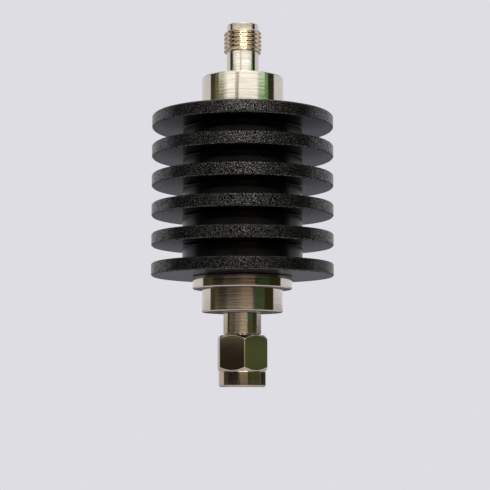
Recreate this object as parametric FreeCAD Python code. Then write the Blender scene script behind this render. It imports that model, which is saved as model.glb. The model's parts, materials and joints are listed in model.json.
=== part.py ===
"""Inline coaxial attenuator: a threaded jack and a plug at the ends of a finned heat sink.

The part stands on the front face of its coupling nut, with +Z up its axis from the plug to the jack.
The origin is the centre of that face. The photograph's viewpoint is on the -Y side.
Sizes are in millimetres.
"""

import FreeCAD
import Part

import math
import os
from collections import namedtuple

Vector = FreeCAD.Vector

# Heat sink: one turned aluminium piece with round fins
fin_diameter = 30.0
fin_count = 6
fin_thickness = 2.1
fin_gap = 2.8
fin_rim_chamfer = 0.2
fin_root_fillet = 0.35
core_diameter = 19.8

# Body tube, which runs through the heat sink and carries both connectors
tube_diameter = 12.0
tube_wall = 1.5
flange_diameter = 16.4
flange_thickness = 2.1
spigot_wall = 1.0
spigot_length = 3.0

# Coaxial line shared by both connectors
dielectric_diameter = 4.1
contact_diameter = 1.27
air_line_bore = 2.92
bead_flange_diameter = 5.4
bead_flange_length = 1.5
bush_diameter = 6.2
contact_collar_diameter = 1.7
contact_collar_length = 0.7

# Screw coupling of the two connectors, a quarter-inch thread with 36 turns to the inch
thread_diameter = 6.3
thread_bore = 5.7

# Jack, at the top
jack_hub_diameter = 13.6
jack_hub_length = 6.4
jack_neck_diameter = 5.35
jack_neck_length = 4.35
jack_thread_length = 3.55
jack_thread_chamfer = 0.2
jack_nose_diameter = 5.3
jack_nose_length = 1.2
jack_mouth_diameter = 4.6
jack_mouth_depth = 1.93
jack_mouth_chamfer = 0.15
jack_bead_step_depth = 3.4
socket_bore = 0.94
socket_depth = 2.9
socket_slot_width = 0.14
socket_slot_length = 2.4
socket_slot_count = 4
socket_entry_chamfer = 0.06
socket_setback = 0.05
socket_flex_gap = 0.06

# Plug, at the bottom
plug_hub_diameter = 13.3
plug_hub_length = 3.8
plug_neck_diameter = 6.2
plug_neck_length = 3.65
plug_barrel_diameter = 4.58
plug_barrel_length = 1.95
plug_face_height = 3.3
pin_diameter = 0.91
pin_reach = 2.3
pin_nose_radius = 0.2
plug_bead_step_depth = 0.7
gasket_thickness = 0.5
gasket_wall = 0.28
ring_groove_offset = 0.8
ring_groove_depth = 0.35

# Coupling nut and the split ring that holds it
nut_across_flats = 7.8
nut_hex_length = 5.9
nut_collar_diameter = 7.7
nut_collar_length = 2.5
nut_collar_chamfer = 0.25
nut_hex_chamfer_deg = 43.0
nut_hex_end_inset = 0.15
nut_mouth_chamfer = 0.35
nut_turn_deg = 5.0
nut_clearance = 0.1
nut_rear_gap = 0.1
nut_float = 0.25
ring_thickness = 0.35
ring_bite = 0.25
ring_gap_width = 1.6
ring_clearance = 0.02

# Ceramic attenuator chip and its two clamping carriers
chip_length = 9.0
chip_width = 6.2
chip_thickness = 1.0
chip_film_thickness = 0.02
chip_metal_thickness = 0.05
chip_ground_width = 0.9
chip_terminal_width = 1.2
chip_terminal_length = 1.0
chip_film_width = 2.4
chip_cavity_height = 1.4
chip_pocket_gap = 0.05
contact_gap = 0.5
contact_flat_length = 1.6
tab_width = 0.9
tab_thickness = 0.1
tab_reach = 0.8
tab_setback = 0.2
carrier_end_gap = 0.05
screw_diameter = 1.2
screw_head_diameter = 2.0
screw_head_height = 0.7
screw_offset = 2.6
screw_seat_depth = 1.1
screw_depth = 2.2
screw_slot_width = 0.3
screw_slot_depth = 0.35

# Fits and broken edges
fit = 0.01
slip = 0.05
edge_break = 0.15

# Profile points closer than this are one point
same_point = 1e-6

# Radii worked out from the sizes above
tube_radius = tube_diameter / 2
bore_radius = tube_radius - tube_wall
spigot_radius = tube_radius - spigot_wall - fit
line_radius = dielectric_diameter / 2
contact_radius = contact_diameter / 2
air_radius = air_line_bore / 2
bead_flange_radius = bead_flange_diameter / 2
bush_radius = bush_diameter / 2
collar_radius = contact_collar_diameter / 2
thread_radius = thread_diameter / 2
nut_bore_radius = thread_bore / 2
shank_radius = nut_bore_radius - nut_clearance
barrel_radius = plug_barrel_diameter / 2
gasket_seat_radius = shank_radius - gasket_wall
ring_groove_radius = shank_radius - ring_groove_depth
ring_inner_radius = ring_groove_radius + slip
ring_outer_radius = nut_bore_radius + ring_bite
carrier_radius = bore_radius - fit

# Heights of the plug end, counted up from the nut's front face
plug_face = plug_face_height
pin_tip = plug_face - pin_reach
gasket_front = plug_face + plug_barrel_length
gasket_seat = gasket_front + gasket_thickness
ring_groove_front = gasket_seat + ring_groove_offset
ring_groove_rear = ring_groove_front + ring_thickness + nut_float + 2 * ring_clearance
ring_rear = ring_groove_rear - ring_clearance
ring_front = ring_rear - ring_thickness
nut_length = nut_collar_length + nut_hex_length
neck_front = nut_length + nut_rear_gap
plug_hub_front = neck_front + plug_neck_length
flange_front = plug_hub_front + plug_hub_length
plug_bead_step = plug_hub_front + plug_bead_step_depth
plug_bush_seat = plug_bead_step + bead_flange_length
plug_spigot_end = flange_front + spigot_length

# Heights of the heat sink and the jack end
sink_front = flange_front + flange_thickness
sink_rear = sink_front + fin_count * fin_thickness + (fin_count - 1) * fin_gap
jack_spigot_end = sink_rear - spigot_length
jack_hub_rear = sink_rear + jack_hub_length
jack_thread_front = jack_hub_rear + jack_neck_length
jack_thread_rear = jack_thread_front + jack_thread_length
jack_face = jack_thread_rear + jack_nose_length
jack_mouth_floor = jack_face - jack_mouth_depth
jack_bead_step = jack_hub_rear - jack_bead_step_depth
jack_bush_seat = jack_bead_step - bead_flange_length
socket_face = jack_mouth_floor - socket_setback

# Heights of the chip and its carriers, centred between the two spigots
carrier_front = plug_spigot_end + carrier_end_gap
carrier_rear = jack_spigot_end - carrier_end_gap
chip_middle = (carrier_front + carrier_rear) / 2
chip_front = chip_middle - chip_length / 2
chip_rear = chip_middle + chip_length / 2
plug_contact_end = chip_front - contact_gap
jack_contact_end = chip_rear + contact_gap

Corner = namedtuple("Corner", "radius height fillet chamfer", defaults=(0.0, 0.0))


def corner_edges(before, corner, after):
    """First point, last point and joining edge of one profile corner."""
    here = Vector(corner.radius, 0, corner.height)
    back = (Vector(before.radius, 0, before.height) - here).normalize()
    ahead = (Vector(after.radius, 0, after.height) - here).normalize()
    if corner.chamfer:
        first = here + back * corner.chamfer
        last = here + ahead * corner.chamfer
        return first, last, Part.LineSegment(first, last).toShape()
    if corner.fillet:
        half_angle = back.getAngle(ahead) / 2
        trim = corner.fillet / math.tan(half_angle)
        bisector = (back + ahead).normalize()
        centre = here + bisector * (corner.fillet / math.sin(half_angle))
        first = here + back * trim
        last = here + ahead * trim
        return first, last, Part.Arc(first, centre - bisector * corner.fillet, last).toShape()
    return here, here, None


def turned(corners):
    """Solid turned about Z from a closed profile of corners."""
    corners = [Corner(*c) if not isinstance(c, Corner) else c for c in corners]
    count = len(corners)
    shaped = [corner_edges(corners[i - 1], corners[i], corners[(i + 1) % count]) for i in range(count)]
    edges = []
    for i, (first, last, edge) in enumerate(shaped):
        if edge:
            edges.append(edge)
        following = shaped[(i + 1) % count][0]
        if (following - last).Length > same_point:
            edges.append(Part.LineSegment(last, following).toShape())
    face = Part.Face(Part.Wire(edges))
    return face.revolve(Vector(0, 0, 0), Vector(0, 0, 1), 360)


def ring_body(inner, outer, low, high, chamfer=0.0):
    """Plain turned sleeve or, with no inner radius, a disc."""
    return turned([
        Corner(inner, low),
        Corner(outer, low, chamfer=chamfer),
        Corner(outer, high, chamfer=chamfer),
        Corner(inner, high),
    ])


def block(x, y, z):
    """Box between pairs of limits along each axis."""
    return Part.makeBox(x[1] - x[0], y[1] - y[0], z[1] - z[0], Vector(x[0], y[0], z[0]))


def heat_sink():
    """Core and fins in one profile, with broken rims and a small radius at each fin root."""
    core = core_diameter / 2
    rim = fin_diameter / 2
    corners = [Corner(tube_radius + fit, sink_front)]
    for i in range(fin_count):
        low = sink_front + i * (fin_thickness + fin_gap)
        high = low + fin_thickness
        if i > 0:
            corners.append(Corner(core, low, fillet=fin_root_fillet))
        corners.append(Corner(rim, low, chamfer=fin_rim_chamfer))
        corners.append(Corner(rim, high, chamfer=fin_rim_chamfer))
        if i < fin_count - 1:
            corners.append(Corner(core, high, fillet=fin_root_fillet))
    corners.append(Corner(tube_radius + fit, sink_rear))
    return turned(corners)


def body_tube():
    """Flanged tube with a socket at each end for a connector's spigot."""
    socket = spigot_radius + fit
    return turned([
        Corner(socket, flange_front),
        Corner(flange_diameter / 2, flange_front, chamfer=edge_break),
        Corner(flange_diameter / 2, sink_front, chamfer=edge_break),
        Corner(tube_radius, sink_front),
        Corner(tube_radius, sink_rear),
        Corner(socket, sink_rear),
        Corner(socket, jack_spigot_end),
        Corner(bore_radius, jack_spigot_end),
        Corner(bore_radius, plug_spigot_end),
        Corner(socket, plug_spigot_end),
    ])


def jack_shell():
    """Threaded barrel, neck, hub and spigot of the jack, bored for its bead and bush."""
    return turned([
        Corner(line_radius + fit, jack_mouth_floor),
        Corner(jack_mouth_diameter / 2, jack_mouth_floor),
        Corner(jack_mouth_diameter / 2, jack_face, chamfer=jack_mouth_chamfer),
        Corner(jack_nose_diameter / 2, jack_face, chamfer=edge_break),
        Corner(jack_nose_diameter / 2, jack_thread_rear),
        Corner(thread_radius, jack_thread_rear, chamfer=jack_thread_chamfer),
        Corner(thread_radius, jack_thread_front, chamfer=jack_thread_chamfer),
        Corner(jack_neck_diameter / 2, jack_thread_front),
        Corner(jack_neck_diameter / 2, jack_hub_rear),
        Corner(jack_hub_diameter / 2, jack_hub_rear, chamfer=edge_break),
        Corner(jack_hub_diameter / 2, sink_rear),
        Corner(spigot_radius, sink_rear),
        Corner(spigot_radius, jack_spigot_end, chamfer=edge_break),
        Corner(bush_radius + fit, jack_spigot_end),
        Corner(bush_radius + fit, jack_bush_seat),
        Corner(bead_flange_radius + fit, jack_bush_seat),
        Corner(bead_flange_radius + fit, jack_bead_step),
        Corner(line_radius + fit, jack_bead_step),
    ])


def plug_shell():
    """Nose barrel, gasket step, shank with its ring groove, neck, hub and spigot of the plug."""
    return turned([
        Corner(line_radius + fit, plug_face),
        Corner(barrel_radius, plug_face),
        Corner(barrel_radius, gasket_front),
        Corner(gasket_seat_radius, gasket_front),
        Corner(gasket_seat_radius, gasket_seat),
        Corner(shank_radius, gasket_seat),
        Corner(shank_radius, ring_groove_front),
        Corner(ring_groove_radius, ring_groove_front),
        Corner(ring_groove_radius, ring_groove_rear),
        Corner(shank_radius, ring_groove_rear),
        Corner(shank_radius, neck_front),
        Corner(plug_neck_diameter / 2, neck_front, chamfer=edge_break),
        Corner(plug_neck_diameter / 2, plug_hub_front),
        Corner(plug_hub_diameter / 2, plug_hub_front, chamfer=edge_break),
        Corner(plug_hub_diameter / 2, flange_front),
        Corner(spigot_radius, flange_front),
        Corner(spigot_radius, plug_spigot_end, chamfer=edge_break),
        Corner(bush_radius + fit, plug_spigot_end),
        Corner(bush_radius + fit, plug_bush_seat),
        Corner(bead_flange_radius + fit, plug_bush_seat),
        Corner(bead_flange_radius + fit, plug_bead_step),
        Corner(line_radius + fit, plug_bead_step),
    ])


def bead(face, step, seat, flex_depth=0.0):
    """Insulating bead from a connector's face to its bush, with a groove round the contact's collar."""
    inward = 1 if seat > face else -1
    middle = (step + seat) / 2
    half_collar = contact_collar_length / 2
    hole = contact_radius + fit
    corners = []
    if flex_depth:
        corners.append(Corner(hole + socket_flex_gap, face))
    else:
        corners.append(Corner(hole, face))
    corners += [
        Corner(line_radius, face),
        Corner(line_radius, step),
        Corner(bead_flange_radius, step),
        Corner(bead_flange_radius, seat),
        Corner(hole, seat),
        Corner(hole, middle + inward * half_collar),
        Corner(collar_radius + fit, middle + inward * half_collar),
        Corner(collar_radius + fit, middle - inward * half_collar),
        Corner(hole, middle - inward * half_collar),
    ]
    if flex_depth:
        corners.append(Corner(hole, face + inward * flex_depth))
        corners.append(Corner(hole + socket_flex_gap, face + inward * flex_depth))
    return turned(corners)


def contact_rod(low, high, step, seat):
    """Centre conductor with the collar that the bead grips."""
    middle = (step + seat) / 2
    half_collar = contact_collar_length / 2
    rod = ring_body(0, contact_radius, low, high)
    collar = ring_body(0, collar_radius, middle - half_collar, middle + half_collar)
    return rod.fuse(collar).removeSplitter()


def with_flat(contact, low, high):
    """Cuts the half on the -Y side away, so that a tab can lie on the flat."""
    reach = contact_diameter
    return contact.cut(block((-reach, reach), (-reach, 0), (low, high)))


def plug_contact():
    """Pin, conductor and rear flat of the plug's centre contact."""
    pin = turned([
        Corner(0, pin_tip),
        Corner(pin_diameter / 2, pin_tip, fillet=pin_nose_radius),
        Corner(pin_diameter / 2, plug_face),
        Corner(0, plug_face),
    ])
    rod = contact_rod(plug_face, plug_contact_end, plug_bead_step, plug_bush_seat)
    flat_start = plug_contact_end - contact_flat_length
    return with_flat(pin.fuse(rod).removeSplitter(), flat_start, plug_contact_end + fit)


def jack_contact():
    """Slotted spring socket, conductor and rear flat of the jack's centre contact."""
    contact = contact_rod(jack_contact_end, socket_face, jack_bead_step, jack_bush_seat)
    bore = turned([
        Corner(0, socket_face - socket_depth),
        Corner(socket_bore / 2, socket_face - socket_depth),
        Corner(socket_bore / 2, socket_face - socket_entry_chamfer),
        Corner(socket_bore / 2 + socket_entry_chamfer, socket_face),
        Corner(0, socket_face),
    ])
    contact = contact.cut(bore)
    half_width = socket_slot_width / 2
    slot_span = (socket_face - socket_slot_length, socket_face + fit)
    for i in range(socket_slot_count):
        slot = block((0, contact_diameter), (-half_width, half_width), slot_span)
        slot.rotate(Vector(0, 0, 0), Vector(0, 0, 1), 45 + i * 360 / socket_slot_count)
        contact = contact.cut(slot)
    return with_flat(contact, jack_contact_end - fit, jack_contact_end + contact_flat_length)


def coupling_nut():
    """Hexagon with coned ends on a round collar, bored for the thread and grooved for the split ring."""
    flat_radius = nut_across_flats / 2
    point_radius = flat_radius / math.cos(math.radians(30))
    points = []
    for i in range(7):
        angle = math.radians(-90 + nut_turn_deg + 60 * i)
        x = point_radius * math.cos(angle)
        y = point_radius * math.sin(angle)
        points.append(Vector(x, y, nut_collar_length))
    hexagon = Part.Face(Part.makePolygon(points)).extrude(Vector(0, 0, nut_hex_length))
    inset = flat_radius - nut_hex_end_inset
    cone_drop = (point_radius + nut_hex_end_inset - inset) * math.tan(math.radians(nut_hex_chamfer_deg))
    coned = turned([
        Corner(0, nut_collar_length),
        Corner(inset, nut_collar_length),
        Corner(point_radius + nut_hex_end_inset, nut_collar_length + cone_drop),
        Corner(point_radius + nut_hex_end_inset, nut_length - cone_drop),
        Corner(inset, nut_length),
        Corner(0, nut_length),
    ])
    collar = turned([
        Corner(0, 0),
        Corner(nut_collar_diameter / 2, 0, chamfer=nut_collar_chamfer),
        Corner(nut_collar_diameter / 2, nut_collar_length),
        Corner(0, nut_collar_length),
    ])
    groove = ring_outer_radius + slip
    bore = turned([
        Corner(0, 0),
        Corner(nut_bore_radius + nut_mouth_chamfer, 0),
        Corner(nut_bore_radius, nut_mouth_chamfer),
        Corner(nut_bore_radius, ring_front - ring_clearance),
        Corner(groove, ring_front - ring_clearance),
        Corner(groove, ring_rear + ring_clearance),
        Corner(nut_bore_radius, ring_rear + ring_clearance),
        Corner(nut_bore_radius, nut_length - edge_break),
        Corner(nut_bore_radius + edge_break, nut_length),
        Corner(0, nut_length),
    ])
    return hexagon.common(coned).fuse(collar).removeSplitter().cut(bore)


def retaining_ring():
    """Split spring ring that sits half in the plug's groove and half in the nut's."""
    ring = ring_body(ring_inner_radius, ring_outer_radius, ring_front, ring_rear)
    half_gap = ring_gap_width / 2
    gap = block((-half_gap, half_gap), (0, 2 * ring_outer_radius), (ring_front - slip, ring_rear + slip))
    return ring.cut(gap)


def nut_gasket():
    """Silicone ring on its step behind the nose barrel, flush with the shank."""
    return ring_body(gasket_seat_radius + fit, shank_radius, gasket_front, gasket_seat)


def chip_substrate():
    """Ceramic plate in the lower carrier's pocket, with its printed side towards the upper carrier."""
    half = chip_width / 2
    top = chip_metal_thickness
    return block((-half, half), (top, top + chip_thickness), (chip_front, chip_rear))


def chip_ground_strips():
    """Silver strips along both long edges of the chip."""
    outer = chip_width / 2
    inner = outer - chip_ground_width
    strip = block((inner, outer), (0, chip_metal_thickness), (chip_front, chip_rear))
    return Part.Compound([strip, strip.mirror(Vector(0, 0, 0), Vector(1, 0, 0))])


def chip_terminals():
    """Silver pad at each end of the chip, under the tabs."""
    half = chip_terminal_width / 2
    pads = []
    for low in (chip_front, chip_rear - chip_terminal_length):
        pads.append(block((-half, half), (0, chip_metal_thickness), (low, low + chip_terminal_length)))
    return Part.Compound(pads)


def chip_resistor_film():
    """Resistive film between the terminals, joined to both ground strips at its middle."""
    top = chip_metal_thickness
    low = top - chip_film_thickness
    half = chip_film_width / 2
    edge = chip_width / 2 - chip_ground_width
    strip_front = chip_front + chip_terminal_length
    strip_rear = chip_rear - chip_terminal_length
    third = (strip_rear - strip_front) / 3
    line = block((-half, half), (low, top), (strip_front, strip_rear))
    cross = block((-edge, edge), (low, top), (strip_front + third, strip_rear - third))
    return line.fuse(cross).removeSplitter()


def tab(contact_end, chip_end):
    """Ribbon from a contact's flat to the chip's terminal."""
    half = tab_width / 2
    inward = 1 if chip_end > contact_end else -1
    on_contact = contact_end - inward * (contact_flat_length - tab_setback)
    on_chip = chip_end + inward * tab_reach
    ends = sorted((on_contact, on_chip))
    return block((-half, half), (-tab_thickness, 0), ends)


def screw_places():
    """Centres of the four carrier screws, on both sides of the line and beyond both ends of the chip."""
    places = []
    for height in ((carrier_front + chip_front) / 2, (carrier_rear + chip_rear) / 2):
        for side in (-1, 1):
            places.append((side * screw_offset, height))
    return places


def drilled(x, z, radius, start, end):
    """Round hole or shank along Y between two depths."""
    return Part.makeCylinder(radius, end - start, Vector(x, start, z), Vector(0, 1, 0))


def half_round(side):
    """Half of the chamber's filling, on the +Y side for 1 and on the -Y side for -1."""
    whole = ring_body(0, carrier_radius, carrier_front, carrier_rear, edge_break)
    limits = sorted((0, side * 2 * carrier_radius))
    wide = 2 * carrier_radius
    return whole.common(block((-wide, wide), limits, (carrier_front - fit, carrier_rear + fit)))


def line_channel(low, high):
    """Air line that the centre conductor runs through."""
    return Part.makeCylinder(air_radius, high - low, Vector(0, 0, low))


def lower_carrier():
    """Half with the chip's pocket and the threaded screw holes."""
    carrier = half_round(1)
    half = chip_width / 2 + chip_pocket_gap
    depth = chip_metal_thickness + chip_thickness
    pocket_front = chip_front - chip_pocket_gap
    pocket_rear = chip_rear + chip_pocket_gap
    carrier = carrier.cut(block((-half, half), (-fit, depth), (pocket_front, pocket_rear)))
    carrier = carrier.cut(line_channel(carrier_front - fit, pocket_front))
    carrier = carrier.cut(line_channel(pocket_rear, carrier_rear + fit))
    for x, z in screw_places():
        carrier = carrier.cut(drilled(x, z, screw_diameter / 2 + fit, -fit, screw_depth + fit))
    return carrier


def upper_carrier():
    """Half that presses on the ground strips, with the cavity over the film and the screw seats."""
    carrier = half_round(-1)
    half = chip_width / 2 - chip_ground_width
    pocket_front = chip_front - chip_pocket_gap
    pocket_rear = chip_rear + chip_pocket_gap
    carrier = carrier.cut(block((-half, half), (-chip_cavity_height, fit), (pocket_front, pocket_rear)))
    carrier = carrier.cut(line_channel(carrier_front - fit, pocket_front))
    carrier = carrier.cut(line_channel(pocket_rear, carrier_rear + fit))
    outside = -2 * carrier_radius
    for x, z in screw_places():
        carrier = carrier.cut(drilled(x, z, screw_diameter / 2 + slip, outside, fit))
        carrier = carrier.cut(drilled(x, z, screw_head_diameter / 2 + slip, outside, -screw_seat_depth))
    return carrier


def carrier_screws():
    """Four slotted cheese-head screws that clamp the carriers."""
    screws = []
    head_top = -screw_seat_depth - screw_head_height
    for x, z in screw_places():
        shank = drilled(x, z, screw_diameter / 2, -screw_seat_depth, screw_depth)
        head = drilled(x, z, screw_head_diameter / 2, head_top, -screw_seat_depth)
        slot = block(
            (x - screw_slot_width / 2, x + screw_slot_width / 2),
            (head_top - fit, head_top + screw_slot_depth),
            (z - screw_head_diameter, z + screw_head_diameter),
        )
        screws.append(shank.fuse(head).removeSplitter().cut(slot))
    return Part.Compound(screws)


def all_parts():
    """Every piece by its name."""
    return {
        "heat_sink": heat_sink(),
        "body_tube": body_tube(),
        "jack_shell": jack_shell(),
        "jack_bead": bead(jack_mouth_floor, jack_bead_step, jack_bush_seat, socket_depth),
        "jack_contact": jack_contact(),
        "jack_bead_bush": ring_body(air_radius, bush_radius, jack_spigot_end, jack_bush_seat),
        "plug_shell": plug_shell(),
        "plug_bead": bead(plug_face, plug_bead_step, plug_bush_seat),
        "plug_contact": plug_contact(),
        "plug_bead_bush": ring_body(air_radius, bush_radius, plug_bush_seat, plug_spigot_end),
        "coupling_nut": coupling_nut(),
        "retaining_ring": retaining_ring(),
        "nut_gasket": nut_gasket(),
        "chip_substrate": chip_substrate(),
        "chip_resistor_film": chip_resistor_film(),
        "chip_ground_strips": chip_ground_strips(),
        "chip_terminals": chip_terminals(),
        "plug_tab": tab(plug_contact_end, chip_front),
        "jack_tab": tab(jack_contact_end, chip_rear),
        "lower_carrier": lower_carrier(),
        "upper_carrier": upper_carrier(),
        "carrier_screws": carrier_screws(),
    }


os.makedirs("parts", exist_ok=True)
for name, shape in all_parts().items():
    shape.exportStep("parts/" + name + ".step")
    solids = shape.Solids
    valid = shape.isValid() and all(s.Volume > 0 for s in solids)
    print(f"{name}: {len(solids)} solid(s), {shape.Volume:.2f} mm3, valid {valid}")
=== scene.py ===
"""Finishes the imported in-line attenuator, cuts its threads, and sets it on a plain stage for a picture.

Lengths are in metres. +Z runs up the part's axis from the plug to the jack, and the camera looks along +Y.
"""

import json
import math

import bpy
from bpy.props import FloatProperty, FloatVectorProperty, IntProperty, PointerProperty
from mathutils import Matrix, Vector


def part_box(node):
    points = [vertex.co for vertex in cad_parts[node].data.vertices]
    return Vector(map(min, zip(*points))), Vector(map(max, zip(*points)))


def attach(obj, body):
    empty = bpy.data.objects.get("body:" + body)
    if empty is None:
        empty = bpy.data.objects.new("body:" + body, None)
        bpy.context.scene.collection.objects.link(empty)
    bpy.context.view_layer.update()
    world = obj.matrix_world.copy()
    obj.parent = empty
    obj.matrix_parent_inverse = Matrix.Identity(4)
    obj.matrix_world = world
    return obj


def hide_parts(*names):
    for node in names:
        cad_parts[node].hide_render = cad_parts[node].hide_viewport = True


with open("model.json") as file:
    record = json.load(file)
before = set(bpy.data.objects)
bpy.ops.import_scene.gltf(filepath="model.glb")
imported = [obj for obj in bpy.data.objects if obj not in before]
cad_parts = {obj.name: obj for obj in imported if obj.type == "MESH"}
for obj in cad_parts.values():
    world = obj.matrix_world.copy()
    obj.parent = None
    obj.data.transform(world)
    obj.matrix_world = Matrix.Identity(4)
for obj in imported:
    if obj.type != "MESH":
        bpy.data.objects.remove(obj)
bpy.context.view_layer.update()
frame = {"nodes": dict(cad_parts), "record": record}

bl_info = {
    "name": "In-line attenuator",
    "version": (1, 0, 0),
    "blender": (4, 5, 0),
    "location": "View3D > Sidebar > Attenuator",
    "description": "Finishes an in-line coaxial attenuator and stages it",
    "category": "Object",
}

MM = 0.001
NUT_LOW, NUT_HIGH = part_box("coupling_nut")
RING_LOW, RING_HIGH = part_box("retaining_ring")
JACK_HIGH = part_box("jack_shell")[1]
HEAT_SINK_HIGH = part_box("heat_sink")[1]
GASKET_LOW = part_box("nut_gasket")[0]

# Curved pieces
SMOOTH_ANGLE = math.radians(25)  # facets that meet at less than this are drawn smooth
JOIN_DISTANCE = 0.0005 * MM  # points closer than this are joined
SAME_RING = 0.002 * MM  # grid on which the points of one ring fall together

# Rounded corners of an outline
FLAT_ANGLE = math.radians(150)  # a corner that opens wider than this stays as it is
ARC_STEPS = 3
ARC_SHARE = 0.4  # most of an edge that an arc may take up
BESIDE_ARC = 1.2  # place of the row beside an arc, in shares of what the arc takes up

# Threads
ROWS_PER_PITCH = 14
ROWS_FROM_SURFACE = 6  # an edge gets rows when it lies within this many steps of the threaded surface
DEPTHS_FROM_SURFACE = 1.2  # a point moves when it lies within this many thread depths of it
CREST_SHARE = 0.25  # end of the flat crest, in shares of half a pitch
ROOT_SHARE = 0.97  # start of the root, in the same shares

# Coupling nut
CORNER_ANGLE = 60  # degrees from one corner to the next
FACE_STEPS = 12
CORNER_STEPS = 4
BESIDE_CORNER = 0.15  # gap from a corner to the point beside it, in shares of the corner's radius
GROOVE_PLAY = 0.05 * MM  # sideways play of the split ring in its groove
RING_PLAY = 0.02 * MM  # play of the split ring in height

# Marks on the finishes
PIT_SIZE = 0.13 * MM
PIT_DEPTH = 0.018 * MM
FULLY_BLASTED = 0.2 * MM  # how far in from the rims the grit has worked fully
HARDLY_BLASTED = 0.4 * MM  # how far in it has hardly worked
GROOVE_MARK_SIZE = 0.15 * MM
PLATE_MARK_SIZE = 0.28 * MM
PLATE_MARK_DEPTH = 0.003 * MM
LATHE_MARK_SIZE = 0.12 * MM
LATHE_MARK_DEPTH = 0.001 * MM
STAIN_SIZE = 2.0 * MM
# Softness of the edges of the painted warm reflection on the jack's thread
WARM_REFLECTION_EDGE = 0.1 * MM
POLISHED_EDGE = 0.05 * MM
LIGHT_DEPTH = 0.3 * MM  # how far light runs under the surface of the white insulators


def linear(code):
    """Turns an sRGB hex colour into the linear one that the shaders use."""
    values = [int(code[i:i + 2], 16) / 255 for i in (1, 3, 5)]
    return [v / 12.92 if v <= 0.04045 else ((v + 0.055) / 1.055) ** 2.4 for v in values]


def length(name, description, default):
    """A size in metres that the sidebar shows."""
    return FloatProperty(
        name=name, description=description, default=default, min=0.0, precision=5,
        subtype="DISTANCE", unit="LENGTH",
    )


def colour(name, description, code):
    """A colour that the sidebar shows."""
    return FloatVectorProperty(
        name=name, description=description, default=linear(code), size=3, min=0.0, max=1.0, subtype="COLOR"
    )


class AttenuatorSizes(bpy.types.PropertyGroup):
    """Sizes of the details that the finished pieces have beyond the plain ones."""

    columns: IntProperty(name="Columns", description="Steps round each turned piece", default=192, min=24)
    edge_radius: length("Edge radius", "Roundness of every turned edge", 0.04 * MM)
    thread_pitch: length("Thread pitch", "A 36th of an inch", 25.4 * MM / 36)
    thread_depth: length("Thread depth", "From crest to root", 0.40 * MM)
    thread_length: length("Thread length", "Threaded height of the jack", 3.55 * MM)
    nose_length: length("Nose length", "Plain end of the jack above its thread", 1.2 * MM)
    nut_thread_depth: length("Nut thread depth", "From the nut's bore to the thread's root", 0.3 * MM)
    across_flats: length("Across flats", "Spanner size of the coupling nut", 7.8 * MM)
    nut_turn: FloatProperty(
        name="Nut turn", description="How far a corner is turned from the front", default=math.radians(5),
        subtype="ANGLE", unit="ROTATION"
    )
    nut_collar: length("Nut collar", "Height of the nut's round collar", 2.5 * MM)
    nut_collar_radius: length("Nut collar radius", "Radius of the nut's round collar", 3.85 * MM)
    nut_collar_chamfer: length("Nut collar chamfer", "Bevel of the collar's front edge", 0.25 * MM)
    nut_bore_radius: length("Nut bore radius", "Radius inside the nut's thread", 2.85 * MM)
    nut_mouth_chamfer: length("Nut mouth chamfer", "Bevel of the nut's front opening", 0.35 * MM)
    nut_rear_chamfer: length("Nut rear chamfer", "Bevel of the nut's rear opening", 0.15 * MM)
    nut_end_inset: length("Nut end inset", "How far its end faces stop short of the flats", 0.15 * MM)
    nut_edge_radius: length("Nut edge radius", "Roundness of the nut's turned edges", 0.14 * MM)
    nut_corner_radius: length("Nut corner radius", "Roundness of the hexagon's upright corners", 0.32 * MM)
    nut_chamfer_angle: FloatProperty(
        name="Nut chamfer angle", description="Slope of the hexagon's coned ends", default=math.radians(43),
        subtype="ANGLE", unit="ROTATION"
    )


class AttenuatorColours(bpy.types.PropertyGroup):
    """Base colours of the finishes and of the stage."""

    anodised: colour("Black anodising", "Dyed oxide on the heat sink", "#0b0b0c")
    nickel: colour("Nickel", "Bright nickel plate", "#d8d2c8")
    # Painted reflection: a warmer tint for the jack's thread that stands in for the warm light bouncing
    # between its flanks, not for rubbed plate
    painted_warm_reflection: colour("Worn nickel", "Plate rubbed thin on the jack's thread", "#f2e2c8")
    gold: colour("Gold", "Hard gold plate", "#e0b45a")
    brass: colour("Brass", "Turned brass", "#d9b96c")
    bronze: colour("Bronze", "Phosphor bronze wire", "#c08a5c")
    ptfe: colour("PTFE", "White fluoropolymer", "#eeede8")
    silicone: colour("Silicone", "Moulded sealing ring", "#b4402c")
    alumina: colour("Alumina", "Fired ceramic", "#e6e3da")
    cermet: colour("Cermet", "Resistor ink", "#2a2a2e")
    silver: colour("Silver", "Fired silver ink", "#dcd9d2")
    aluminium: colour("Aluminium", "Machined aluminium", "#d4d5d8")
    steel: colour("Steel", "Stainless steel", "#bdbab4")
    floor: colour("Floor", "Pale studio floor", "#d9d8dc")
    backdrop: colour("Backdrop", "What the camera sees behind", "#dedde3")


def sizes():
    """The sizes in the sidebar."""
    return bpy.context.scene.attenuator_sizes


def colours():
    """The colours in the sidebar."""
    return bpy.context.scene.attenuator_colours


def rgba(rgb):
    """Colour with full cover, as sockets want it."""
    return (*rgb, 1.0)


def shade(rgb, factor):
    """Darker or lighter version of a colour."""
    return [v * factor for v in rgb]


def add(tree, kind, inputs=None, **settings):
    """Adds a node, sets its options, and fills its inputs with values or with links from other sockets."""
    node = tree.nodes.new(kind)
    for name, value in settings.items():
        setattr(node, name, value)
    for key, value in (inputs or {}).items():
        if isinstance(value, bpy.types.NodeSocket):
            tree.links.new(value, node.inputs[key])
        else:
            node.inputs[key].default_value = value
    return node


def maths(tree, operation, first, second=0.0, third=0.0):
    """Output of one step of arithmetic."""
    return add(tree, "ShaderNodeMath", {0: first, 1: second, 2: third}, operation=operation).outputs[0]


def object_place(tree):
    """Where a point lies on the part, in metres."""
    return add(tree, "ShaderNodeTexCoord").outputs["Object"]


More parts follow.
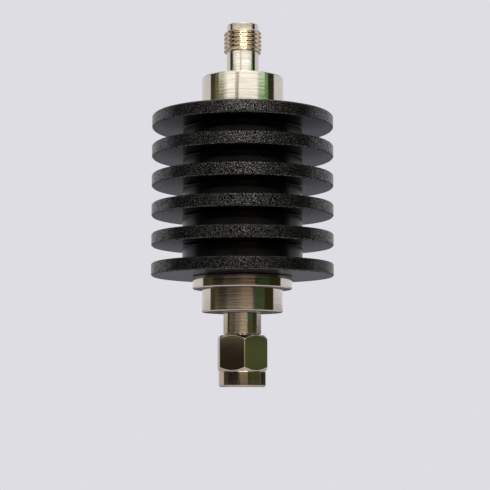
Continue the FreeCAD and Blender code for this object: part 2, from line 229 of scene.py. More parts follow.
def from_axis(tree, x, y):
    """Distance from the part's axis."""
    squares = maths(tree, "ADD", maths(tree, "MULTIPLY", x, x), maths(tree, "MULTIPLY", y, y))
    return maths(tree, "SQRT", squares)


def ring_coordinates(tree, run):
    """Radius, way round as a run to each radian, and height, so that a pattern follows the lathe's tool."""
    x, y, z = add(tree, "ShaderNodeSeparateXYZ", {0: object_place(tree)}).outputs
    around = maths(tree, "MULTIPLY", maths(tree, "ARCTAN2", y, x), run)
    return add(tree, "ShaderNodeCombineXYZ", {0: from_axis(tree, x, y), 1: around, 2: z}).outputs[0]


def new_material(name):
    """Empty material with its Principled shader and output."""
    material = bpy.data.materials.new(name)
    material.use_nodes = True
    tree = material.node_tree
    tree.nodes.clear()
    shader = add(tree, "ShaderNodeBsdfPrincipled")
    add(tree, "ShaderNodeOutputMaterial", {"Surface": shader.outputs[0]})
    return material, tree, shader


def fill(tree, shader, **inputs):
    """Sets or links the inputs of a Principled shader, written with _ for spaces."""
    for name, value in inputs.items():
        socket = shader.inputs[name.replace("_", " ")]
        if isinstance(value, bpy.types.NodeSocket):
            tree.links.new(value, socket)
        else:
            socket.default_value = value


def noise(tree, place, grain, detail=2.0, roughness=0.5):
    """Noise whose grains are about the given size in metres."""
    inputs = {"Vector": place, "Scale": 1 / grain, "Detail": detail, "Roughness": roughness}
    return add(tree, "ShaderNodeTexNoise", inputs).outputs["Fac"]


def spread(tree, value, low, high, start=0.3, end=0.7):
    """Maps a noise value to a range."""
    inputs = {"Value": value, "From Min": start, "From Max": end, "To Min": low, "To Max": high}
    return add(tree, "ShaderNodeMapRange", inputs).outputs[0]


def blend(tree, factor, first, second):
    """Mix of two colours, each a value or a socket."""
    return add(tree, "ShaderNodeMix", {0: factor, 6: first, 7: second}, data_type="RGBA").outputs[2]


def tint(tree, factor, dark, light):
    """Mix of two plain colours."""
    return blend(tree, factor, rgba(dark), rgba(light))


def bump(tree, height, distance):
    """Bump normal whose full height is the given distance in metres."""
    return add(tree, "ShaderNodeBump", {"Height": height, "Distance": distance}).outputs[0]


def black_anodised_aluminium():
    """Aluminium under dyed oxide: the rims blasted to a sparkling grain, the grooves smoother."""
    material, tree, shader = new_material("Black anodised aluminium")
    turned = ring_coordinates(tree, 0.4 * MM)
    # Blasting leaves pits of 0.05 to 0.1 mm. They are drawn a little larger so that they show.
    pits = noise(tree, object_place(tree), PIT_SIZE, detail=0.0)
    rings = noise(tree, turned, GROOVE_MARK_SIZE)
    radius = add(tree, "ShaderNodeSeparateXYZ", {0: turned}).outputs[0]
    # The grit reaches the rims, but hardly the grooves between the fins.
    rim = HEAT_SINK_HIGH.x
    blasted = spread(tree, radius, 0.0, 1.0, rim - HARDLY_BLASTED, rim - FULLY_BLASTED)
    height = maths(tree, "MULTIPLY", pits, blasted)
    # Few of the pits turn a facet to the lamp, and those flash.
    sparkle = spread(tree, pits, -0.25, 2.2, 0.485, 0.72)
    base = colours().anodised
    dyed = spread(tree, pits, 0.0, 1.0, 0.4, 0.62)
    fill(
        tree, shader,
        Base_Color=tint(tree, dyed, shade(base, 0.6), shade(base, 1.5)),
        Roughness=maths(tree, "MULTIPLY_ADD", blasted, -0.04, spread(tree, rings, 0.27, 0.29)),
        Specular_IOR_Level=maths(tree, "ADD", 0.3, maths(tree, "MULTIPLY", blasted, sparkle)),
        Normal=bump(tree, height, PIT_DEPTH),
    )
    return material


def nickel_on_brass():
    """Bright nickel on turned brass: a warm mirror, streaked across by the tool's rings."""
    material, tree, shader = new_material("Nickel plate on turned brass")
    turned = ring_coordinates(tree, 0.12 * MM)
    # The tool's feed leaves a ring every 0.1 mm or so, drawn wider so that it shows.
    rings = noise(tree, turned, PLATE_MARK_SIZE, detail=3.0, roughness=0.6)
    stains = noise(tree, object_place(tree), STAIN_SIZE)
    height = add(tree, "ShaderNodeSeparateXYZ", {0: turned}).outputs[2]
    # The jack's thread gets a warmer tint, a painted reflection that stands in for the warm light bouncing
    # between its flanks.
    low = JACK_HIGH.z - sizes().nose_length - sizes().thread_length
    high = low + sizes().thread_length
    above = spread(tree, height, 0.0, 1.0, low - WARM_REFLECTION_EDGE, low + WARM_REFLECTION_EDGE)
    below = spread(tree, height, 1.0, 0.0, high - WARM_REFLECTION_EDGE, high + WARM_REFLECTION_EDGE)
    painted_warm_reflection = maths(tree, "MULTIPLY", above, below)
    # The nut is polished before it is plated, so it has hardly any rings.
    turned_share = spread(tree, height, 0.25, 1.0, NUT_HIGH.z, NUT_HIGH.z + POLISHED_EDGE)
    base = colours().nickel
    plate = tint(tree, spread(tree, stains, 0.0, 1.0), shade(base, 0.92), base)
    fill(
        tree, shader,
        Base_Color=blend(tree, painted_warm_reflection, plate, rgba(colours().painted_warm_reflection)),
        Metallic=1.0,
        Roughness=maths(tree, "MULTIPLY_ADD", turned_share, spread(tree, rings, 0.01, 0.08), 0.05),
        Normal=bump(tree, maths(tree, "MULTIPLY", rings, turned_share), PLATE_MARK_DEPTH),
    )
    return material


def turned_metal(name, base, rough):
    """Bare or plated metal straight from the lathe, with fine rings."""
    material, tree, shader = new_material(name)
    rings = noise(tree, ring_coordinates(tree, 0.4 * MM), LATHE_MARK_SIZE)
    fill(
        tree, shader,
        Base_Color=tint(tree, spread(tree, rings, 0.0, 1.0), shade(base, 0.9), base),
        Metallic=1.0,
        Roughness=spread(tree, rings, rough, rough + 0.1),
        Normal=bump(tree, rings, LATHE_MARK_DEPTH),
    )
    return material


def hard_gold():
    """Hard gold over nickel on beryllium copper: deep yellow and smooth."""
    return turned_metal("Hard gold plate", colours().gold, rough=0.16)


def turned_brass():
    """Bare free-cutting brass: paler and greener than gold, with open tool rings."""
    return turned_metal("Turned brass", colours().brass, rough=0.24)


def phosphor_bronze():
    """Drawn bronze wire: reddish and satin."""
    return turned_metal("Phosphor bronze wire", colours().bronze, rough=0.3)


def machined_aluminium():
    """Milled aluminium: pale grey, with fine cutter marks."""
    return turned_metal("Machined aluminium", colours().aluminium, rough=0.28)


def stainless_steel():
    """Turned stainless steel screws: neutral grey and satin."""
    return turned_metal("Stainless steel", colours().steel, rough=0.25)


def fired_silver():
    """Silver ink fired on ceramic: pale, matt and slightly grainy."""
    return turned_metal("Fired silver ink", colours().silver, rough=0.4)


def grained(name, base, grain, depth, rough, ior, let_in=0.0):
    """Non-metal with an even grain, darker in its hollows, that may let some light in."""
    material, tree, shader = new_material(name)
    grains = noise(tree, object_place(tree), grain, detail=3.0)
    fill(
        tree, shader,
        Base_Color=tint(tree, spread(tree, grains, 0.0, 1.0), shade(base, 0.9), base),
        Roughness=spread(tree, grains, rough, rough + 0.08),
        IOR=ior,
        Subsurface_Weight=let_in,
        Subsurface_Scale=LIGHT_DEPTH,
        Normal=bump(tree, grains, depth),
    )
    return material


def ptfe():
    """Machined PTFE: waxy white that light enters a little."""
    return grained(
        "Machined PTFE", colours().ptfe, grain=0.15 * MM, depth=0.002 * MM, rough=0.42, ior=1.38, let_in=0.3
    )


def silicone_rubber():
    """Moulded silicone rubber: brick red and dull."""
    return grained(
        "Silicone rubber", colours().silicone, grain=0.1 * MM, depth=0.002 * MM, rough=0.55, ior=1.41
    )


def alumina():
    """Fired alumina: off-white with a fine matt grain."""
    return grained(
        "Fired alumina", colours().alumina, grain=0.05 * MM, depth=0.001 * MM, rough=0.5, ior=1.76
    )


def cermet():
    """Fired resistor ink: near black with a glassy skin."""
    return grained("Cermet ink", colours().cermet, grain=0.04 * MM, depth=0.001 * MM, rough=0.35, ior=1.6)


FINISHES = {
    "black_anodised": black_anodised_aluminium,
    "nickel_plate": nickel_on_brass,
    "ptfe": ptfe,
    "gold_plate": hard_gold,
    "bare_brass": turned_brass,
    "spring_bronze": phosphor_bronze,
    "silicone": silicone_rubber,
    "alumina": alumina,
    "resistor_film": cermet,
    "printed_silver": fired_silver,
    "plain_aluminium": machined_aluminium,
    "stainless_steel": stainless_steel,
}
made_finishes = {}
SLOT_OF = {part["node"]: part["material_slot"] for part in frame["record"]["subparts"]}
BODY_OF = {node: body for body, nodes in frame["record"]["behaviour"]["bodies"].items() for node in nodes}


def finish_of(node):
    """Material of the node's slot, made once."""
    slot = SLOT_OF[node]
    if slot not in made_finishes:
        made_finishes[slot] = FINISHES[slot]()
    return made_finishes[slot]


def link(name, mesh):
    """Object for a mesh that already lies in its place."""
    piece = bpy.data.objects.new(name, mesh)
    bpy.context.scene.collection.objects.link(piece)
    return piece


def hand_over(piece, node):
    """Lets a finished piece stand for its node."""
    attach(piece, BODY_OF[node])
    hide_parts(node)


def settle(piece):
    """Turns a piece's modifiers into plain mesh."""
    evaluated = piece.evaluated_get(bpy.context.evaluated_depsgraph_get())
    mesh = bpy.data.meshes.new_from_object(evaluated)
    piece.modifiers.clear()
    piece.data = mesh


def finish_node(node):
    """Gives a kept node its finish."""
    for slot in frame["nodes"][node].material_slots:
        slot.material = finish_of(node)


def smooth_copy(node):
    """Copy of a node with its facets joined, smooth where they meet at a small angle."""
    mesh = frame["nodes"][node].data.copy()
    mesh.materials.clear()
    mesh.materials.append(finish_of(node))
    piece = link(node + "_smooth", mesh)
    weld = piece.modifiers.new("join facets", "WELD")
    weld.merge_threshold = JOIN_DISTANCE
    settle(piece)
    piece.data.shade_smooth()
    piece.data.set_sharp_from_angle(angle=SMOOTH_ANGLE)
    hand_over(piece, node)


def rings_of(node):
    """Rings of a turned node's mesh as (radius, height), and which of them are neighbours."""
    mesh = frame["nodes"][node].data
    rings = []
    ring_at = {}
    ring_index = []
    for vertex in mesh.vertices:
        x, y, z = vertex.co
        spot = (round(math.hypot(x, y) / SAME_RING), round(z / SAME_RING))
        if spot not in ring_at:
            beside = [(spot[0] + i, spot[1] + j) for i in (-1, 0, 1) for j in (-1, 0, 1)]
            near = [ring_at[place] for place in beside if place in ring_at]
            if near:
                ring_at[spot] = near[0]
            else:
                ring_at[spot] = len(rings)
                rings.append(Vector((math.hypot(x, y), z)))
        ring_index.append(ring_at[spot])
    neighbours = {i: set() for i in range(len(rings))}
    for edge in mesh.edges:
        a, b = (ring_index[v] for v in edge.vertices)
        if a != b:
            neighbours[a].add(b)
            neighbours[b].add(a)
    return rings, neighbours


def outline_of(node):
    """Closed outline of a turned node, as points (radius, height) in order."""
    rings, neighbours = rings_of(node)
    order = [next(i for i in neighbours if len(neighbours[i]) == 2)]
    while True:
        here = rings[order[-1]]
        onward = [i for i in neighbours[order[-1]] if i not in order]
        if not onward:
            break
        order.append(min(onward, key=lambda i: (rings[i] - here).length))
    if len(order) != len(rings):
        raise ValueError(f"the outline of {node} isn't one loop")
    return [rings[i] for i in order]


def softened(outline, radius):
    """Outline with each hard corner rounded by an arc, and a row close beside it to keep the rest flat."""
    points = []
    for i, here in enumerate(outline):
        back = outline[i - 1] - here
        ahead = outline[(i + 1) % len(outline)] - here
        opening = back.angle(ahead)
        if opening > FLAT_ANGLE:
            points.append(here)
            continue
        trim = min(radius / math.tan(opening / 2), ARC_SHARE * back.length, ARC_SHARE * ahead.length)
        arc = trim * math.tan(opening / 2)
        bisector = (back.normalized() + ahead.normalized()).normalized()
        centre = here + bisector * (arc / math.sin(opening / 2))
        first = (here + back.normalized() * trim - centre).normalized()
        last = (here + ahead.normalized() * trim - centre).normalized()
        beside = BESIDE_ARC * trim
        points.append(here + back.normalized() * beside)
        points += [centre + arc * first.slerp(last, k / ARC_STEPS) for k in range(ARC_STEPS + 1)]
        points.append(here + ahead.normalized() * beside)
    return points


def with_rows(outline, surface, low, high, step):
    """Outline with extra points on an upright surface between two heights, for a thread to be cut."""
    reach = ROWS_FROM_SURFACE * step
    points = []
    for i, here in enumerate(outline):
        points.append(here)
        ahead = outline[(i + 1) % len(outline)]
        inside = all(low - step < p.y < high + step and abs(p.x - surface) < reach for p in (here, ahead))
        count = math.ceil(abs(ahead.y - here.y) / step) if inside else 1
        points += [here.lerp(ahead, k / count) for k in range(1, count)]
    return points


def new_tree(name, inputs):
    """Geometry Nodes tree with its named inputs, and the sockets that it starts from."""
    tree = bpy.data.node_groups.new(name, "GeometryNodeTree")
    tree.interface.new_socket(name="Geometry", in_out="INPUT", socket_type="NodeSocketGeometry")
    tree.interface.new_socket(name="Geometry", in_out="OUTPUT", socket_type="NodeSocketGeometry")
    for label, kind in inputs.items():
        tree.interface.new_socket(name=label, in_out="INPUT", socket_type="NodeSocket" + kind)
    return tree, add(tree, "NodeGroupInput").outputs


def end_tree(tree, geometry, finish):
    """Realises the instances, sets the finish and closes the tree."""
    real = add(tree, "GeometryNodeRealizeInstances", {0: geometry}).outputs[0]
    dressed = add(tree, "GeometryNodeSetMaterial", {"Geometry": real, "Material": finish}).outputs[0]
    add(tree, "NodeGroupOutput", {0: dressed})


def use_tree(piece, tree, **values):
    """Adds the tree to a piece as a modifier, with values for its named inputs."""
    modifier = piece.modifiers.new(tree.name, "NODES")
    modifier.node_group = tree
    for item in tree.interface.items_tree:
        label = item.name.replace(" ", "_")
        if item.in_out == "INPUT" and label in values:
            modifier[item.identifier] = values[label]


def turning_tree():
    """Turns an outline that lies in the XZ plane about Z."""
    tree, given = new_tree("Turn outline", {"Columns": "Int", "Path radius": "Float", "Finish": "Material"})
    outline = add(tree, "GeometryNodeMeshToCurve", {0: given["Geometry"]}).outputs[0]
    # The sweep lays the outline's X away from the axis and its Y down.
    inward = maths(tree, "MULTIPLY", given["Path radius"], -1.0)
    shift = add(tree, "ShaderNodeCombineXYZ", {0: inward}).outputs[0]
    inputs = {0: outline, "Translation": shift, "Rotation": (math.pi / 2, 0, 0)}
    laid = add(tree, "GeometryNodeTransform", inputs).outputs[0]
    inputs = {"Resolution": given["Columns"], "Radius": given["Path radius"]}
    circle = add(tree, "GeometryNodeCurvePrimitiveCircle", inputs).outputs[0]
    path = add(tree, "GeometryNodeSetCurveNormal", {0: circle}, mode="Z_UP").outputs[0]
    swept = add(tree, "GeometryNodeCurveToMesh", {"Curve": path, "Profile Curve": laid}).outputs[0]
    smooth = add(tree, "GeometryNodeSetShadeSmooth", {0: swept}).outputs[0]
    end_tree(tree, smooth, given["Finish"])
    return tree


def threading_tree():
    """Cuts a right-hand thread into a turned surface by moving its points in or out."""
    tree, given = new_tree(
        "Cut thread",
        {"Surface radius": "Float", "Pitch": "Float", "Depth": "Float", "Low": "Float", "High": "Float",
         "Side": "Float", "Finish": "Material"},
    )
    place = add(tree, "GeometryNodeInputPosition").outputs[0]
    x, y, z = add(tree, "ShaderNodeSeparateXYZ", {0: place}).outputs
    radius = from_axis(tree, x, y)
    turn = maths(tree, "DIVIDE", maths(tree, "ARCTAN2", y, x), 2 * math.pi)
    phase = maths(tree, "FRACT", maths(tree, "SUBTRACT", maths(tree, "DIVIDE", z, given["Pitch"]), turn))
    # 0 at the middle of a crest and 1 at the middle of a root
    valley = maths(tree, "ABSOLUTE", maths(tree, "MULTIPLY_ADD", phase, 2.0, -1.0))
    inputs = {"Value": valley, "From Min": CREST_SHARE, "From Max": ROOT_SHARE, "To Max": given["Depth"]}
    cut = add(tree, "ShaderNodeMapRange", inputs).outputs[0]
    # -1 where the thread goes inwards from an outer surface, and 1 where it goes outwards from a bore
    side = given["Side"]
    surface = given["Surface radius"]
    wanted = maths(tree, "ADD", surface, maths(tree, "MULTIPLY", side, cut))
    deeper = maths(
        tree, "MAXIMUM", maths(tree, "MULTIPLY", side, radius), maths(tree, "MULTIPLY", side, wanted)
    )
    scale = maths(tree, "DIVIDE", maths(tree, "MULTIPLY", side, deeper), radius)
    moved_x = maths(tree, "MULTIPLY", x, scale)
    moved_y = maths(tree, "MULTIPLY", y, scale)
    new_place = add(tree, "ShaderNodeCombineXYZ", {0: moved_x, 1: moved_y, 2: z}).outputs[0]
    off = maths(tree, "ABSOLUTE", maths(tree, "SUBTRACT", radius, surface))
    on_surface = maths(tree, "LESS_THAN", off, maths(tree, "MULTIPLY", given["Depth"], DEPTHS_FROM_SURFACE))
    above = maths(tree, "GREATER_THAN", z, given["Low"])
    below = maths(tree, "LESS_THAN", z, given["High"])
    chosen = maths(tree, "MULTIPLY", maths(tree, "MULTIPLY", above, below), on_surface)
    inputs = {"Geometry": given["Geometry"], "Selection": chosen, "Position": new_place}
    cut_mesh = add(tree, "GeometryNodeSetPosition", inputs).outputs[0]
    end_tree(tree, cut_mesh, given["Finish"])
    return tree


def turned_piece(node, threaded=None):
    """Finely turned stand-in for a node, ready for a thread on a surface between two heights."""
    outline = softened(outline_of(node), sizes().edge_radius)
    if threaded:
        outline = with_rows(outline, *threaded, sizes().thread_pitch / ROWS_PER_PITCH)
    mesh = bpy.data.meshes.new(node + "_outline")
    count = len(outline)
    points = [(p.x, 0, p.y) for p in outline]
    mesh.from_pydata(points, [(i, (i + 1) % count) for i in range(count)], [])
    piece = link(node + "_turned", mesh)
    reach = max(p.x for p in outline)
    use_tree(piece, turning_tree(), Columns=sizes().columns, Path_radius=reach, Finish=finish_of(node))
    return piece


def hand_over_turned(node):
    """Turns a node finely and lets the result stand for it."""
    piece = turned_piece(node)
    settle(piece)
    hand_over(piece, node)


class AttenuatorOperator(bpy.types.Operator):
    """Shared settings of the attenuator's operators."""

    bl_options = {"REGISTER", "UNDO"}


class ATTENUATOR_OT_heat_sink(AttenuatorOperator):
    """Turn the finned heat sink and give it its black finish"""

    bl_idname = "attenuator.heat_sink"
    bl_label = "Heat sink"

    def execute(self, context):
        hand_over_turned("heat_sink")
        return {"FINISHED"}


class ATTENUATOR_OT_body_tube(AttenuatorOperator):
    """Turn the flanged tube that runs through the heat sink"""

    bl_idname = "attenuator.body_tube"
    bl_label = "Body tube"

    def execute(self, context):
        hand_over_turned("body_tube")
        return {"FINISHED"}


class ATTENUATOR_OT_jack(AttenuatorOperator):
    """Turn the jack, cut its thread, and finish its bead, bush and socket contact"""

    bl_idname = "attenuator.jack"
    bl_label = "Jack"

    def execute(self, context):
        size = sizes()
        high = JACK_HIGH.z - size.nose_length
        low = high - size.thread_length
        outer = max(p.x for p in outline_of("jack_shell") if low < p.y < high)
        piece = turned_piece("jack_shell", (outer, low, high))
        use_tree(
            piece, threading_tree(), Surface_radius=outer, Pitch=size.thread_pitch,
            Depth=size.thread_depth, Low=low - size.edge_radius, High=high + size.edge_radius,
            Side=-1.0, Finish=finish_of("jack_shell"),
        )
        settle(piece)
        hand_over(piece, "jack_shell")
        for node in ("jack_bead", "jack_contact"):
            smooth_copy(node)
        finish_node("jack_bead_bush")
        return {"FINISHED"}


class ATTENUATOR_OT_plug(AttenuatorOperator):
    """Turn the plug's shell, and finish its bead, bush and pin contact"""

    bl_idname = "attenuator.plug"
    bl_label = "Plug"

    def execute(self, context):
        hand_over_turned("plug_shell")
        for node in ("plug_bead", "plug_contact"):
            smooth_copy(node)
        finish_node("plug_bead_bush")
        return {"FINISHED"}


def hexagon_plan(flat_radius, corner_radius, turn):
    """Points of a hexagon with rounded corners, as (radius, angle) round the axis."""
    plan = []
    inner = flat_radius - corner_radius
    half_flat = inner * math.tan(math.radians(CORNER_ANGLE / 2))
    # A point close beside each corner keeps the rest of the flat even.
    beside = 1 - BESIDE_CORNER * corner_radius / half_flat
    shares = [-1, -beside, *(2 * k / FACE_STEPS - 1 for k in range(1, FACE_STEPS)), beside, 1]
    for side in range(360 // CORNER_ANGLE):
        facing = -math.pi / 2 + turn + math.radians(CORNER_ANGLE / 2 + CORNER_ANGLE * side)
        local = [Vector((flat_radius, half_flat * share)) for share in shares]
        corner = Vector((inner, half_flat))
        for k in range(1, CORNER_STEPS):
            bend = math.radians(CORNER_ANGLE) * k / CORNER_STEPS
            local.append(corner + corner_radius * Vector((math.cos(bend), math.sin(bend))))
        plan += [(p.length, facing + math.atan2(p.y, p.x)) for p in local]
    return plan


def nut_outline(radius, size):
    """Outline of the nut where its hexagon reaches the given radius."""
    top = NUT_HIGH.z
    inset = size.across_flats / 2 - size.nut_end_inset
    drop = (radius - inset) * math.tan(size.nut_chamfer_angle)
    bore = size.nut_bore_radius
    groove = RING_HIGH.x + GROOVE_PLAY
    collar = size.nut_collar_radius
    points = [
        (bore + size.nut_mouth_chamfer, NUT_LOW.z),
        (collar - size.nut_collar_chamfer, NUT_LOW.z),
        (collar, NUT_LOW.z + size.nut_collar_chamfer),
        (collar, size.nut_collar),
        (inset, size.nut_collar),
        (radius, size.nut_collar + drop),
        (radius, top - drop),
        (inset, top),
        (bore + size.nut_rear_chamfer, top),
        (bore, top - size.nut_rear_chamfer),
        (bore, RING_HIGH.z + RING_PLAY),
        (groove, RING_HIGH.z + RING_PLAY),
        (groove, RING_LOW.z - RING_PLAY),
        (bore, RING_LOW.z - RING_PLAY),
        (bore, GASKET_LOW.z),
        (bore, NUT_LOW.z + size.nut_mouth_chamfer),
    ]
    return [Vector(p) for p in points]


def slope(back, here, ahead):
    """Direction of a line of points at one of them, true on an even curve however the points are spaced."""
    before = here - back
    after = ahead - here
    return before * (after.length / before.length) + after * (before.length / after.length)


def set_grid_normals(piece, wide, count):
    """Gives a grid mesh the normals of the smooth surface that its points lie on."""
    points = [v.co.copy() for v in piece.data.vertices]
    normals = []
    for i in range(wide):
        column = i * count
        left = (i - 1) % wide * count
        right = (i + 1) % wide * count
        for k in range(count):
            here = points[column + k]
            around = slope(points[left + k], here, points[right + k])
            along = slope(points[column + (k - 1) % count], here, points[column + (k + 1) % count])
            normals.append(around.cross(along).normalized())
    piece.data.normals_split_custom_set_from_vertices(normals)


def grid_mesh(name, columns, material):
    """Closed mesh whose columns run round the axis, each a loop with as many points."""
    count = len(columns[0])
    wide = len(columns)
    points = [p for column in columns for p in column]
    faces = []
    for i in range(wide):
        j = (i + 1) % wide
        for k in range(count):
            m = (k + 1) % count
            faces.append((i * count + k, j * count + k, j * count + m, i * count + m))
    mesh = bpy.data.meshes.new(name)
    mesh.from_pydata(points, [], faces)
    mesh.materials.append(material)
    mesh.shade_smooth()
    return mesh


class ATTENUATOR_OT_coupling_nut(AttenuatorOperator):
    """Cut the coupling nut's hexagon and inner thread, and finish its split ring and sealing ring"""

    bl_idname = "attenuator.coupling_nut"
    bl_label = "Coupling nut"

    def execute(self, context):
        size = sizes()
        finish = finish_of("coupling_nut")
        bore = size.nut_bore_radius
        row = size.thread_pitch / ROWS_PER_PITCH
        columns = []
        for radius, angle in hexagon_plan(size.across_flats / 2, size.nut_corner_radius, size.nut_turn):
            outline = softened(nut_outline(radius, size), size.nut_edge_radius)
            outline = with_rows(outline, bore, NUT_LOW.z, GASKET_LOW.z, row)
            columns.append([(p.x * math.cos(angle), p.x * math.sin(angle), p.y) for p in outline])
        piece = link("coupling_nut_threaded", grid_mesh("coupling_nut_threaded", columns, finish))
        use_tree(
            piece, threading_tree(), Surface_radius=bore, Pitch=size.thread_pitch,
            Depth=size.nut_thread_depth, Low=NUT_LOW.z + size.nut_mouth_chamfer / 2, High=GASKET_LOW.z,
            Side=1.0, Finish=finish,
        )
        settle(piece)
        set_grid_normals(piece, len(columns), len(columns[0]))
        hand_over(piece, "coupling_nut")
        smooth_copy("nut_gasket")
        finish_node("retaining_ring")
        return {"FINISHED"}


class ATTENUATOR_OT_chip(AttenuatorOperator):
    """Finish the ceramic chip, its printed layers and its contact ribbons"""

    bl_idname = "attenuator.chip"
    bl_label = "Chip"

    def execute(self, context):
        printed = ("chip_resistor_film", "chip_ground_strips", "chip_terminals")
        for node in ("chip_substrate", *printed, "plug_tab", "jack_tab"):
            finish_node(node)
        return {"FINISHED"}


class ATTENUATOR_OT_carriers(AttenuatorOperator):
    """Finish the two half-round carriers and their screws"""

    bl_idname = "attenuator.carriers"
    bl_label = "Carriers"

    def execute(self, context):
        for node in ("lower_carrier", "upper_carrier", "carrier_screws"):
            finish_node(node)
        return {"FINISHED"}


# Camera
CAMERA_DISTANCE = 225.94 * MM
CAMERA_HEIGHT = 0.01 * MM
CAMERA_TILT = math.radians(5.88)
CAMERA_TURN = math.radians(-0.105)
CAMERA_ROLL = math.radians(0.08)
CAMERA_LENS = 101.32  # in millimetres, as is the sensor
CAMERA_SENSOR = 36
CAMERA_NEAR = 1 * MM
CAMERA_FAR = 20.0

# Floor
FLOOR_RADIUS = 60 * MM
FLOOR_STEPS = 128
FLOOR_PATCH = 40 * MM
FADE_START = 0.4  # share of the radius from which the floor fades

# The studio's cards and lamps as they stand round the part. Each spans two directions in degrees from the
# front, with the right positive, and two heights in degrees above the horizon. Then come its strength, its
# colour and how many degrees its upright edges blur over. Later ones stand in front of earlier ones.
DEGREES = 180 / math.pi
HEIGHT_BLUR = 0.12
DARK_ROOM = "#0c0c0d"
CARDS = (
    # Pale cards behind the part and beside it
    (94, 266, -90.0, -6.2, 1.0, "#9c9ca4", 14),
    (94, 266, -6.2, -4.45, 1.0, "#7c7c84", 14),
    (94, 266, -4.45, -1.0, 1.0, "#3a342e", 14),
    (98, 258, -1.0, 3.15, 1.4, "#a39a92", 2),
    (92, 264, -1.0, 0.65, 1.4, "#b0a6a0", 3),
    (98, 258, 3.15, 15.8, 1.4, "#c6c4c6", 2),
    (90, 270, 15.8, 24.5, 1.0, "#ccd0e4", 24),
    # Brown cards in front, low down, with paler ones among them
    (-102, -70, -1.0, 11.55, 1.4, "#3a3424", 6),
    (-72, -16, -1.0, 4.1, 1.4, "#221d15", 8),
    (-10, 30, -1.0, 0.65, 1.4, "#5a4a40", 4),
    (-18, 26, 0.65, 2.15, 1.4, "#a88f74", 10),
    (-84, -44, 2.15, 3.15, 1.4, "#7a7060", 8),
    (-46, -10, 2.15, 3.15, 1.4, "#a4978a", 10),
    (-12, 34, 2.15, 3.15, 1.4, "#b8ac9e", 10),
    (-42, 0, 3.15, 3.8, 1.4, "#5c4b3f", 5),
    (-1, 29, 3.15, 3.9, 1.4, "#907c68", 4),
    (-8, 28, 3.9, 4.8, 1.4, "#462a1a", 8),
    (-14, 28, 4.8, 11.55, 1.4, "#1c1814", 6),
    # Green cards to the right, and dark ones beside them
    (34, 66, 2.15, 3.15, 1.4, "#373827", 4),
    (33, 66, 3.15, 3.9, 1.4, "#4b6346", 4),
    (36, 70, 3.9, 4.8, 1.4, "#222c18", 4),
    (68, 98, 2.15, 11.55, 1.4, "#28240f", 5),
    (36, 98, -1.0, 0.65, 1.4, "#383820", 5),
    (33, 98, 0.65, 2.15, 1.4, "#464d2e", 6),
    (98, 156, -1.0, 2.15, 1.4, "#2a261c", 10),
    (99, 150, 2.15, 3.15, 1.4, "#7a7a76", 4),
    # White card above, with a thin bar, between olive and green ones
    (-100, -84, 11.55, 13.1, 1.8, "#38342a", 3),
    (-84, -46, 11.55, 13.1, 1.8, "#646642", 10),
    (-49, 46, 11.55, 13.1, 1.8, "#faf8ec", 22),
    (-21, -12, 11.55, 13.1, 1.8, "#90857a", 3),
    (45, 76, 11.55, 13.1, 1.8, "#6c9a60", 12),
    (76, 98, 11.55, 13.1, 1.8, "#2c2c20", 4),
    (-71, 64, 13.1, 15.8, 1.8, "#ffffff", 2),
    (-15, -10, 13.1, 15.8, 1.8, "#8c8474", 2),
    (-84, 76, 14.2, 15.8, 1.8, "#b0a596", 6),
    # Lamp in front with its glow, and pale cards overhead
    (90, 270, 24.5, 30.3, 15.0, "#161618", 40),
    (-65, 65, 24.5, 30.3, 15.0, "#343230", 6),
    (-20, 28, 23.0, 30.3, 15.0, "#fffcf6", 10),
    (90, 270, 30.3, 38.0, 1.1, "#7c7e88", 30),
    (-80, 80, 30.3, 38.0, 1.1, "#e8dccc", 6),
    (100, 260, 38.0, 60.0, 4.0, "#6c6a68", 40),
    (-76, 76, 38.0, 60.0, 4.0, "#6c6a64", 8),
    (-26, 34, 38.0, 60.0, 4.0, "#fffaf0", 8),
    (-180, 180, 60.0, 90.0, 1.2, "#ffffff", 1),
)


def reach_of(tree, value, low, high, blur):
    """1 where a value lies between two others and 0 outside, with a soft step."""
    inputs = {"Value": value, "From Min": high - blur, "From Max": high + blur, "To Min": 1.0, "To Max": 0.0}
    below = add(tree, "ShaderNodeMapRange", inputs, interpolation_type="SMOOTHSTEP").outputs[0]
    inputs = {"Value": value, "From Min": low - blur, "From Max": low + blur}
    above = add(tree, "ShaderNodeMapRange", inputs, interpolation_type="SMOOTHSTEP").outputs[0]
    return maths(tree, "MULTIPLY", below, above)


def make_world():
    """Soft studio all round, and a plain pale backdrop for what the camera sees."""
    world = bpy.data.worlds.new("Studio")
    bpy.context.scene.world = world
    world.use_nodes = True
    tree = world.node_tree
    tree.nodes.clear()
    direction = add(tree, "ShaderNodeTexCoord").outputs["Generated"]
    x, y, z = add(tree, "ShaderNodeSeparateXYZ", {0: direction}).outputs
    front = maths(tree, "MULTIPLY", y, -1.0)
    turn = maths(tree, "MULTIPLY", maths(tree, "ARCTAN2", x, front), DEGREES)
    height = maths(tree, "MULTIPLY", maths(tree, "ARCSINE", z), DEGREES)
    studio = rgba(linear(DARK_ROOM))
    for left, right, low, high, strength, code, blur in CARDS:
        middle = (left + right) / 2
        half = (right - left) / 2
        offset = maths(tree, "WRAP", maths(tree, "SUBTRACT", turn, middle), 180.0, -180.0)
        across = reach_of(tree, offset, -half, half, blur / 2)
        covered = maths(tree, "MULTIPLY", across, reach_of(tree, height, low, high, HEIGHT_BLUR))
        studio = blend(tree, covered, studio, rgba(shade(linear(code), strength)))
    light = add(tree, "ShaderNodeBackground", {"Color": studio}).outputs[0]
    plain = add(tree, "ShaderNodeBackground", {"Color": rgba(colours().backdrop)}).outputs[0]
    seen = add(tree, "ShaderNodeLightPath").outputs["Is Camera Ray"]
    both = add(tree, "ShaderNodeMixShader", {0: seen, 1: light, 2: plain}).outputs[0]
    add(tree, "ShaderNodeOutputWorld", {"Surface": both})


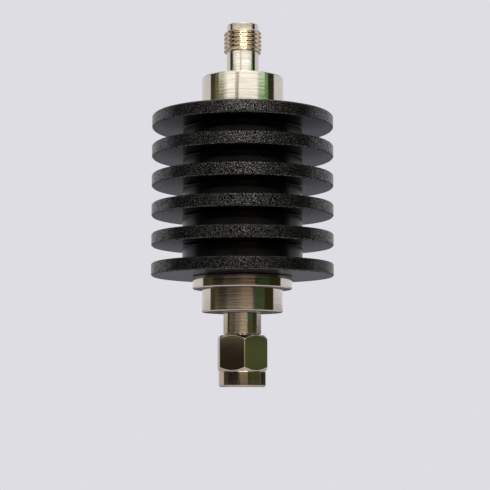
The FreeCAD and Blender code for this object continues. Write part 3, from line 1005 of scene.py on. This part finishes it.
def painted_floor():
    """Matt pale paint with a faint unevenness, which fades into the backdrop."""
    material, tree, shader = new_material("Matt pale floor")
    base = colours().floor
    place = object_place(tree)
    patches = noise(tree, place, FLOOR_PATCH)
    away = add(tree, "ShaderNodeVectorMath", {0: place}, operation="LENGTH").outputs["Value"]
    fill(
        tree, shader,
        Base_Color=tint(tree, spread(tree, patches, 0.0, 1.0), shade(base, 0.98), base),
        Roughness=0.8,
        Alpha=spread(tree, away, 1.0, 0.0, FADE_START * FLOOR_RADIUS, FLOOR_RADIUS),
    )
    return material


class ATTENUATOR_OT_stage(AttenuatorOperator):
    """Lay the floor, light the studio and place the camera"""

    bl_idname = "attenuator.stage"
    bl_label = "Stage"

    def execute(self, context):
        mesh = bpy.data.meshes.new("floor")
        angles = [2 * math.pi * i / FLOOR_STEPS for i in range(FLOOR_STEPS)]
        rim = [(FLOOR_RADIUS * math.cos(a), FLOOR_RADIUS * math.sin(a), 0) for a in angles]
        mesh.from_pydata(rim, [], [tuple(range(FLOOR_STEPS))])
        mesh.materials.append(painted_floor())
        floor = link("floor", mesh)
        make_world()
        camera = bpy.data.objects.new("camera", bpy.data.cameras.new("camera"))
        context.scene.collection.objects.link(camera)
        camera.location = (0, -CAMERA_DISTANCE, CAMERA_HEIGHT)
        aim = Matrix.Rotation(CAMERA_TURN, 3, "Z") @ Matrix.Rotation(math.pi / 2 + CAMERA_TILT, 3, "X")
        camera.rotation_euler = (aim @ Matrix.Rotation(CAMERA_ROLL, 3, "Z")).to_euler()
        camera.data.lens = CAMERA_LENS
        camera.data.sensor_width = CAMERA_SENSOR
        camera.data.clip_start = CAMERA_NEAR
        camera.data.clip_end = CAMERA_FAR
        context.scene.camera = camera
        context.scene.view_settings.view_transform = "Standard"
        return {"FINISHED"}


class ATTENUATOR_PT_panel(bpy.types.Panel):
    """Sidebar panel with the attenuator's sizes, colours and operators"""

    bl_idname = "ATTENUATOR_PT_panel"
    bl_label = "In-line attenuator"
    bl_space_type = "VIEW_3D"
    bl_region_type = "UI"
    bl_category = "Attenuator"

    def draw(self, context):
        for group in (sizes(), colours()):
            box = self.layout.box()
            for name in group.__annotations__:
                box.prop(group, name)
        for operator in OPERATORS:
            self.layout.operator(operator.bl_idname)


OPERATORS = (
    ATTENUATOR_OT_heat_sink,
    ATTENUATOR_OT_body_tube,
    ATTENUATOR_OT_jack,
    ATTENUATOR_OT_plug,
    ATTENUATOR_OT_coupling_nut,
    ATTENUATOR_OT_chip,
    ATTENUATOR_OT_carriers,
    ATTENUATOR_OT_stage,
)
CLASSES = (AttenuatorSizes, AttenuatorColours, *OPERATORS, ATTENUATOR_PT_panel)


def register():
    for kind in CLASSES:
        bpy.utils.register_class(kind)
    bpy.types.Scene.attenuator_sizes = PointerProperty(type=AttenuatorSizes)
    bpy.types.Scene.attenuator_colours = PointerProperty(type=AttenuatorColours)


def unregister():
    del bpy.types.Scene.attenuator_colours
    del bpy.types.Scene.attenuator_sizes
    for kind in reversed(CLASSES):
        bpy.utils.unregister_class(kind)


def main():
    """Finishes every piece."""
    register()
    for operator in OPERATORS:
        group, name = operator.bl_idname.split(".")
        getattr(getattr(bpy.ops, group), name)()


if __name__ == "__main__":
    main()
